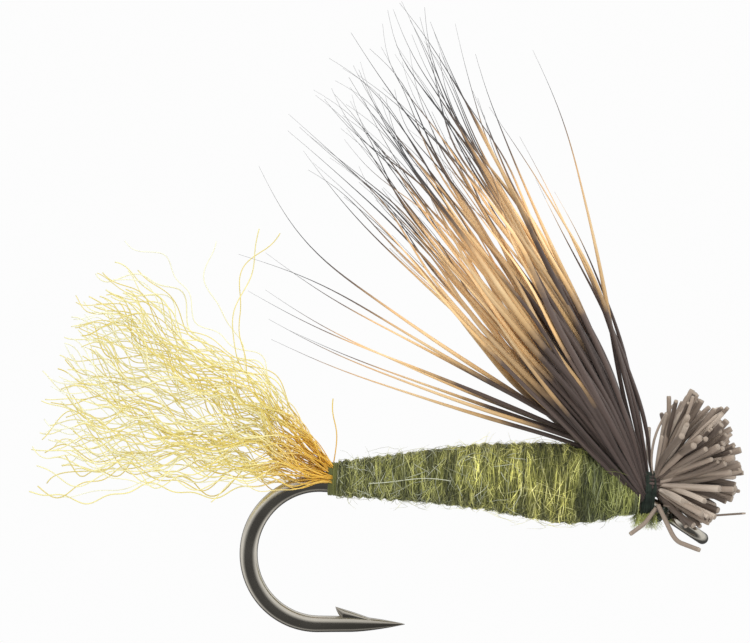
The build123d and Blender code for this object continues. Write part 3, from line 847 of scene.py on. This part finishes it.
def wing_tier(tier):
    """One layer of the wing.

    q runs from 0 at the rear of the wing to 1 at its front.  A hair's angle above the shank goes through
    four knots, each a straight run in q with scatter: steep out of the collar, then leaning back.
    """
    count = HAIRS_IN_TIER[tier]
    q = (tier + RNG.random(count)) / len(WING_TIERS)
    clump = q * 0.5 + np.round(q * 8) / 8 * 0.5
    edge = 1 - 0.6 * np.abs(2 * q - 1)[:, None] ** 3
    waver = np.clip(RNG.normal(0, 1, (count, 7)), -1.8, 1.8) * np.array((2, 3.5, 4, 5, 6, 10, 15)) * edge
    lean = np.stack((39 + 37 * q, 40 + 20 * q, 46 + 12 * clump, 38 + 27 * clump), axis=-1)
    flank = RNG.uniform(-1, 1, count)
    side = np.stack((20 * flank, 9 * flank, 6 * flank, 5 * flank), axis=-1)
    side = side + np.clip(RNG.normal(0, 1, (count, 4)), -1.6, 1.6) * np.array((2.0, 2.5, 2.5, 5.0))
    length = 15.4 - 0.6 * (1 - q) - 4.8 * RNG.random(count) ** 1.8
    thick = HAIR_R * RNG.uniform(0.66, 1.15, count)
    root = np.stack(
        (
            COLLAR_LOW[0] + RNG.uniform(0.02, 0.14, count),
            0.40 * np.sin(flank * np.pi / 2),
            WAIST_Z + 0.27 * (2 * q - 1) - 0.36 * np.abs(flank) ** 1.5,
        ),
        axis=-1,
    )
    tone = np.clip(RNG.normal(0.5, 0.27, count), 0, 1)
    hairs(
        f"{WING_TIERS[tier]}_detail", knots(lean, 7) + waver, side, length, thick, root, tone,
        WING_TIERS[tier], later=2.2 * q**3,
    )


for tier in range(len(WING_TIERS)):
    wing_tier(tier)

# angles above the shank at four knots, angle across, length, and how much further on the dark base
# ends, of hairs that stand apart
STRAY_HAIRS = np.array((
    (68, 77, 72, 61, -3, 12.6, 0.0),
    (30, 29, 31, 60, -7, 14.3, 0.0),
    (36, 36, 39, 50, 4, 13.6, 0.0),
    (78, 68, 60, 57, -4, 10.4, 3.5),
    (82, 66, 58, 60, 2, 9.2, 3.5),
    (76, 70, 55, 52, -7, 11.6, 2.5),
    (80, 73, 64, 56, 5, 8.6, 3.5),
))
DRAPED_HAIRS = np.array((
    (24, 13, 14, 22, -8, 11.4, 0.0),
    (27, 14, 17, 26, -10, 11.9, 0.0),
    (27, 20, 18, 27, -6, 12.6, 0.0),
    (30, 25, 28, 13, -9, 13.4, 0.0),
    (28, 17, 20, 30, 7, 12.2, 0.0),
    (31, 24, 24, 33, 9, 12.8, 0.0),
    (27, 15, 16, 20, 2, 11.0, 0.0),
))


def single_hairs(name, table, thick, *nodes, body):
    """Hairs placed one by one from a table of their angles and lengths."""
    count = len(table)
    up = table[:, :4] + RNG.normal(0, 0.4, (count, 4))
    side = table[:, 4:5] * np.array((0.6, 1.0, 1.0, 0.9))
    root = scattered_roots(count, across_spread=0.2)
    root[:, 2] = WAIST_Z + 0.16 + 0.10 * RNG.random(count)
    root[:, 1] = table[:, 4] * 0.018
    tone = RNG.uniform(0.3, 0.8, count)
    length, later = table[:, 5], table[:, 6]
    hairs(name, up, side, length, np.full(count, thick), root, tone, *nodes, body=body, later=later)


single_hairs("wing_stray_hairs_detail", STRAY_HAIRS, 0.062, "wing_stray_hairs", body="wing")
single_hairs("draped_hairs_detail", DRAPED_HAIRS, 0.060, "draped_hairs", body="tied_hook")


# ---- crushed bundle and clipped butts -----------------------------------------------------
def butt_radius(distance, thick):
    """Butt thickness: crushed at the collar and full by 0.9 mm."""
    return thick[:, None] * (0.40 + 0.60 * np.clip(distance / 0.9, 0, 1) ** 0.8)


def butts(name, up, side, length, thick, root, tone, *nodes, bend_deg=15.0, stations=14):
    """Clipped butts flaring out of the collar, each with a bevelled square end."""
    count = len(length)
    s = np.linspace(0, 1, stations)[None, :]
    s = np.where(s > 0.9, 1 - (1 - s) * 0.25, s / 0.9 * 0.975)
    turn = RNG.normal(0, bend_deg, (count, 1))
    swing = RNG.normal(0, bend_deg, (count, 1))
    even = np.linspace(0, 1, 40)[None, :]
    up40 = up[:, None] + turn * (even - 0.5)
    side40 = side[:, None] * (0.35 + 0.65 * np.clip(even * 3, 0, 1)) + swing * (even - 0.5)
    route = walk(root, up40, side40, length, back=1.0)
    place = s[0] * 39
    low = np.minimum(place.astype(int), 38)
    share = (place - low)[None, :, None]
    centres = route[:, low] * (1 - share) + route[:, low + 1] * share
    radii = butt_radius(s * length[:, None], thick)
    radii[:, -1] *= 0.86
    cut = np.broadcast_to(np.clip((s - 0.965) / 0.03, 0, 1), radii.shape)
    piece = tubes(name, centres, radii, 10, tone, attributes={"cut": cut})
    return dress(piece, BUTT, "hair_butts", *nodes)


def clipped_length(up):
    """How far the scissors left the butts at an angle above the shank: longest up and forward."""
    return np.interp(up, (-60, -30, 0, 25, 50, 72, 85, 95), (1.75, 2.1, 2.5, 2.6, 2.95, 2.85, 2.5, 2.3))


BUTT_GROUPS = {
    "head_butts_back": (71, 96, 8),
    "head_butts_top": (46, 72, 36),
    "head_butts_front": (20, 46, 40),
    "head_butts_nose": (-6, 20, 36),
    "head_butts_under": (-48, -6, 34),
}


def butt_group(node, low_deg, high_deg, count):
    """Fan of butts between two angles above the shank."""
    up = RNG.uniform(low_deg, high_deg, count)
    side = np.clip(RNG.normal(0, 30, count), -72, 72)
    side = np.where(up < 2, np.copysign(np.maximum(np.abs(side), 11 + 0.6 * np.abs(up)), side), side)
    length = clipped_length(up) * RNG.uniform(0.88, 1.03, count)
    length = length * (1 - 0.16 * np.sin(np.radians(side)) ** 2)
    thick = RNG.uniform(0.046, 0.100, count) * (0.7 if low_deg > 60 else 1.0)
    root = scattered_roots(count, 0.05, 0.24)
    root[:, 0] = WAIST_HIGH[0] - 0.12
    root[:, 2] = WAIST_Z + 0.22 * np.sin(np.radians(up)) * RNG.uniform(0.5, 1.0, count)
    tone = np.clip(RNG.normal(0.45, 0.36, count), 0, 1)
    bend_deg = 34.0 if low_deg > 60 else 15.0
    butts(f"{node}_detail", up, side, length, thick, root, tone, node, bend_deg=bend_deg)


for node, (low_deg, high_deg, count) in BUTT_GROUPS.items():
    butt_group(node, low_deg, high_deg, count)


def bent_butt(name, points, thick, node, tone=0.35):
    """Single kinked butt through a few points, its kink rounded by a moving average of seven points."""
    points = np.array(points)
    s = np.linspace(0, 1, 30)
    corner = np.stack([np.interp(s, (0, 0.5, 1), points[:, k]) for k in range(3)], axis=-1)
    padded = np.pad(corner, ((3, 3), (0, 0)), mode="reflect", reflect_type="odd")
    path = np.stack([np.convolve(padded[:, k], np.ones(7) / 7, mode="valid") for k in range(3)], axis=-1)
    radii = np.full((1, 30), thick)
    radii[:, -1] *= 0.8
    cut = np.zeros((1, 30))
    cut[:, -2:] = 1.0
    piece = tubes(name, path[None], radii, 10, np.array([tone]), attributes={"cut": cut})
    dress(piece, BUTT, "hair_butts", node)


bent_butt(
    "stray_butt_detail", ((-0.95, -0.34, 0.52), (-1.25, -0.52, 0.08), (-1.66, -0.60, -0.25)), 0.062,
    "stray_butt",
)
bent_butt(
    "long_nose_butt_detail", ((-0.75, -0.42, 0.62), (0.45, -0.80, 0.42), (1.53, -0.86, 0.57)), 0.030,
    "head_butts_nose", 0.1,
)
bent_butt(
    "kinked_butt_detail", ((-0.90, -0.40, 0.62), (-0.38, -0.74, -0.34), (0.32, -0.92, -0.55)), 0.066,
    "kinked_butt",
)


def crushed_bundle():
    """Hair packed inside the collar, from the wing's roots through to the butts."""
    rings = np.repeat((0, 1, 2, 3), (1, 6, 12, 18))
    place = np.concatenate([np.arange(n) / n for n in (1, 6, 12, 18)])
    angle = 2 * np.pi * place + rings * 0.3
    reach = rings * 0.096
    x = np.linspace(COLLAR_LOW[0] - 0.10, WAIST_HIGH[0] + 0.02, 8)
    count = len(rings)
    squeeze = 1 + 0.06 * ((x - COLLAR_MID[0]) / 0.35) ** 2
    centres = np.stack(
        (
            np.broadcast_to(x, (count, 8)),
            (reach * np.cos(angle))[:, None] * squeeze,
            WAIST_Z + (reach * np.sin(angle))[:, None] * squeeze,
        ),
        axis=-1,
    )
    radii, band = np.full((count, 8), 0.05), np.full((count, 8), 0.1)
    piece = tubes("crushed_hair_bundle", centres, radii, 8, attributes={"band": band})
    dress(piece, HAIR, "wing_hair", "hair_waist")


crushed_bundle()


# ---- yarn shuck ---------------------------------------------------------------------------
YARN_R = 0.0165
YARN_STATIONS = 84
LOCKS = 13
LOCK_NODES = (
    "shuck_bottom_locks", "shuck_lower_locks", "shuck_middle_locks", "shuck_upper_locks", "shuck_top_locks",
)


def crinkled(centres, length, amount, lock):
    """Adds the yarn's crinkle: a short and a slow sideways wave, both growing from the binding.

    Fibres of one lock share the slow wave, and keep nearly in step in the short one.
    """
    locks = lock.max() + 1
    count, stations, _ = centres.shape
    distance = np.linspace(0, 1, stations)[None, :] * length[:, None]
    tangent = unit(np.gradient(centres, axis=1))
    first = unit(np.cross(tangent, np.array((0.0, 1.0, 0.0))))
    second = np.cross(tangent, first)
    ramp = np.clip(distance / 2.0, 0, 1) ** 0.9 * amount[:, None]
    shift = np.zeros_like(centres)
    for direction, share in ((first, 1.0), (second, 0.9)):
        for low, high, height, own in ((1.2, 2.1, 0.125, 1.1), (3.2, 5.4, 0.30, 0.45)):
            wave = RNG.uniform(low, high, (locks, 1))[lock] * RNG.uniform(0.94, 1.06, (count, 1))
            phase = RNG.uniform(0, 2 * np.pi, (locks, 1))[lock] + RNG.normal(0, own, (count, 1))
            pulse = height * share * RNG.uniform(0.6, 1.3, (count, 1))
            shift += direction * (pulse * ramp * np.sin(2 * np.pi * distance / wave + phase))[:, :, None]
    return centres + shift


def yarn(name, up_knots, side_knots, length, root, amount, lock, *nodes, radius=YARN_R):
    """Crinkled fibres from a few angles each."""
    centres = walk(root, knots(up_knots, YARN_STATIONS), knots(side_knots, YARN_STATIONS), length)
    centres = crinkled(centres, length, amount, lock)
    count = len(length)
    radii = radius * RNG.uniform(0.8, 1.15, (count, 1)) * np.ones((1, YARN_STATIONS))
    depth = np.linspace(0, 1, YARN_STATIONS)[None, :] * length[:, None] / 8.5
    depth = depth + RNG.normal(0, 0.02, (count, 1))
    piece = tubes(name, centres, radii, 5, attributes={"depth": depth})
    dress(piece, YARN, "gold_yarn", *nodes, body="shuck")


def yarn_roots(count, height_share):
    """Roots in the binding, straddling the wire; height_share runs from its lower to its upper edge."""
    low, high = SHANK_Z + 0.06, BINDING_HIGH[2] - 0.10
    z = low + (high - low) * height_share
    beside = z < SHANK_Z + WIRE_R + 0.04
    y = RNG.uniform(-0.25, 0.25, count)
    y = np.where(beside, np.sign(y) * (WIRE_R + 0.04 + 0.5 * np.abs(y) * 0.3), y)
    return np.stack((np.full(count, BINDING_LOW[0] + 0.16), y, z), axis=-1)


def yarn_layer(layer):
    """One layer of the shuck; q runs from 0 at its lower edge to 1 at its upper edge.

    The fan leaves the binding wide and its fibres then draw level: the lower edge turns up a little,
    the upper edge flattens, and a gap opens between the lower locks and the rest.
    """
    count = 28
    q = (layer + RNG.random(count)) / len(LOCK_NODES)
    lock = np.round(q * (LOCKS - 1)).astype(int)
    q = q * 0.30 + lock / (LOCKS - 1) * 0.70
    gap = np.clip((q - 0.34) / 0.1, 0, 1) * 2 - 1
    start = -2 + 53 * q**1.15
    middle = 4 + 34 * q + 1.5 * gap
    late = 4 + 24 * q + 4.5 * gap
    end = 9 + 8 * q + 4.0 * gap
    up = np.stack((start, middle, late, end), axis=-1)
    up = up + RNG.normal(0, 1, (count, 4)) * np.array((3.0, 4.0, 5.0, 11.0))
    swing = RNG.normal(0, 1, (LOCKS, 4)) * np.array((0.5, 2.0, 4.5, 8.0))
    up = up + swing[lock]
    side = np.clip(RNG.normal(0, 7.5, (count, 1)) + RNG.normal(0, 3.0, (count, 4)), -17, 17)
    length = (8.35 + 0.25 * q) * RNG.uniform(0.88, 1.03, count)
    amount = RNG.uniform(0.7, 1.35, count)
    root = yarn_roots(count, np.clip(q + RNG.normal(0, 0.12, count), 0, 1))
    yarn(f"{LOCK_NODES[layer]}_fibres", up, side, length, root, amount, lock, LOCK_NODES[layer])


for layer in range(len(LOCK_NODES)):
    yarn_layer(layer)

# angles above the shank at four knots, angle across, length and height share of the fibres that stray
STRAY_YARN = np.array((
    (92, 92, 80, 95, -3, 1.9, 1.0),
    (47, 38, 96, 124, -4, 8.0, 1.0),
    (47, 38, 94, 104, -6, 7.9, 0.9),
    (46, 44, 62, 92, 5, 7.6, 0.9),
    (-14, -4, -6, -8, -5, 8.6, 0.1),
    (-10, 2, -14, -2, 7, 7.9, 0.1),
    (10, -2, -24, -30, -6, 3.6, 0.1),
))


def stray_yarn():
    """Single fibres that leave the fan."""
    count = len(STRAY_YARN)
    up = STRAY_YARN[:, :4]
    side = STRAY_YARN[:, 4:5] * np.ones((1, 4))
    root = yarn_roots(count, STRAY_YARN[:, 6])
    amount = np.full(count, 0.55)
    amount[0] = 0.25
    length, lock = STRAY_YARN[:, 5], np.arange(count)
    yarn("shuck_stray_fibres_detail", up, side, length, root, amount, lock, "shuck_stray_fibres")


stray_yarn()


def yarn_stub():
    """Yarn bound along the top of the shank under the body, as a bundle of nearly straight fibres."""
    count = 44
    middle = (STUB_LOW + STUB_HIGH) / 2
    reach = (STUB_HIGH[1] - STUB_LOW[1]) / 2 - 0.02
    angle, ring = RNG.uniform(0, 2 * np.pi, count), np.sqrt(RNG.random(count)) * reach
    x = np.linspace(STUB_LOW[0] + 0.02, STUB_HIGH[0], 24)
    turn = angle[:, None] + 0.25 * (x - x[0])[None, :]
    y = ring[:, None] * np.cos(turn)
    z = middle[2] + ring[:, None] * np.sin(turn)
    centres = np.stack((np.broadcast_to(x, y.shape), y, z), axis=-1)
    radii = np.full(y.shape, YARN_R)
    piece = tubes("shuck_stub_fibres", centres, radii, 5, attributes={"depth": np.zeros(y.shape)})
    dress(piece, YARN, "gold_yarn", "shuck_stub")


yarn_stub()


# ---- floor, light and camera --------------------------------------------------------------
BACKDROP = 0.98  # brightness of the floor and the surroundings


def stage():
    """Back-lit white floor well under the fly, as bright as the surroundings, so it takes no shadow."""
    half = 600.0
    z = HOOK_LOW[2] - 6.0
    corners = np.array(((-half, -half, z), (half, -half, z), (half, half, z), (-half, half, z)))
    floor = mesh_object("floor", corners, np.arange(4), np.array([4]))
    paint = Paint("floor_paper", 1.0, Base_Color=(0.0, 0.0, 0.0, 1.0), Specular_IOR_Level=0.0)
    paint.shader.inputs["Emission Color"].default_value = (1.0, 1.0, 1.0, 1.0)
    paint.shader.inputs["Emission Strength"].default_value = BACKDROP
    floor.data.materials.append(paint.material)
    floor.visible_glossy = False


def aim_object(thing, side, up, back, place):
    """Turns a light or camera to three axes, at a place in millimetres."""
    turn = Matrix(np.column_stack((side, up, back)).tolist()).to_4x4()
    turn.translation = tuple(place * MM)
    thing.matrix_world = turn
    bpy.context.scene.collection.objects.link(thing)


def area_light(name, place, target, size, power):
    """Square soft light at a place, aimed at a target."""
    data = bpy.data.lights.new(name, "AREA")
    data.size, data.energy = size * MM, power
    light = bpy.data.objects.new(name, data)
    back = unit(np.array(place, dtype=float) - np.array(target, dtype=float))
    side = unit(np.cross((0.0, 0.0, 1.0), back))
    light.visible_glossy = False
    aim_object(light, side, np.cross(back, side), back, np.array(place))


def lights():
    """Bright even surroundings, a soft key and a weaker fill.

    Reflections alone also see a dark card on each side, low down: along a direction it darkens as
    0.87 * |y| - 0.49 * z passes from 0.28 to 0.74.
    """
    world = bpy.data.worlds.new("studio")
    world.use_nodes = True
    tree = world.node_tree
    background = tree.nodes["Background"]
    background.inputs["Strength"].default_value = BACKDROP
    direction = tree.nodes.new("ShaderNodeSeparateXYZ")
    sideways, outwards, toward = (tree.nodes.new("ShaderNodeMath") for _ in range(3))
    sideways.operation, outwards.operation, toward.operation = "ABSOLUTE", "MULTIPLY", "MULTIPLY_ADD"
    outwards.inputs[1].default_value = 0.87
    toward.inputs[1].default_value = -0.49
    card = tree.nodes.new("ShaderNodeMapRange")
    card.inputs["From Min"].default_value, card.inputs["From Max"].default_value = 0.28, 0.74
    card.inputs["To Min"].default_value, card.inputs["To Max"].default_value = 1.0, 0.09
    pick = tree.nodes.new("ShaderNodeMix")
    pick.data_type = "RGBA"
    pick.inputs[6].default_value = (1.0, 1.0, 1.0, 1.0)
    for source, target in (
        (tree.nodes.new("ShaderNodeTexCoord").outputs["Generated"], direction.inputs[0]),
        (direction.outputs["Y"], sideways.inputs[0]),
        (sideways.outputs[0], outwards.inputs[0]),
        (direction.outputs["Z"], toward.inputs[0]),
        (outwards.outputs[0], toward.inputs[2]),
        (toward.outputs[0], card.inputs["Value"]),
        (tree.nodes.new("ShaderNodeLightPath").outputs["Is Glossy Ray"], pick.inputs[0]),
        (card.outputs["Result"], pick.inputs[7]),
        (pick.outputs[2], background.inputs["Color"]),
    ):
        tree.links.new(source, target)
    bpy.context.scene.world = world
    middle = (-8.0, 0.0, 4.0)
    area_light("key", (-30.0, -70.0, 90.0), middle, 60.0, 0.05)
    area_light("fill", (60.0, -90.0, 10.0), middle, 60.0, 0.015)
    bpy.context.scene.view_settings.view_transform = "Standard"


def camera():
    """Long lens square to the fly's side, rolled so that the shank runs a little downhill to the eye."""
    roll = np.radians(3.7)
    aim = np.array((-9.22, 0.0, 5.28))
    width = 21.3
    lens, sensor = 150.0, 36.0
    right = np.array((np.cos(roll), 0, np.sin(roll)))
    up = np.array((-np.sin(roll), 0, np.cos(roll)))
    back = np.array((0.0, -1.0, 0.0))
    data = bpy.data.cameras.new("camera")
    data.lens, data.sensor_width = lens, sensor
    data.clip_start, data.clip_end = 0.001, 10.0
    view = bpy.data.objects.new("camera", data)
    aim_object(view, right, up, back, aim + back * width * lens / sensor)
    bpy.context.scene.camera = view


stage()
lights()
camera()
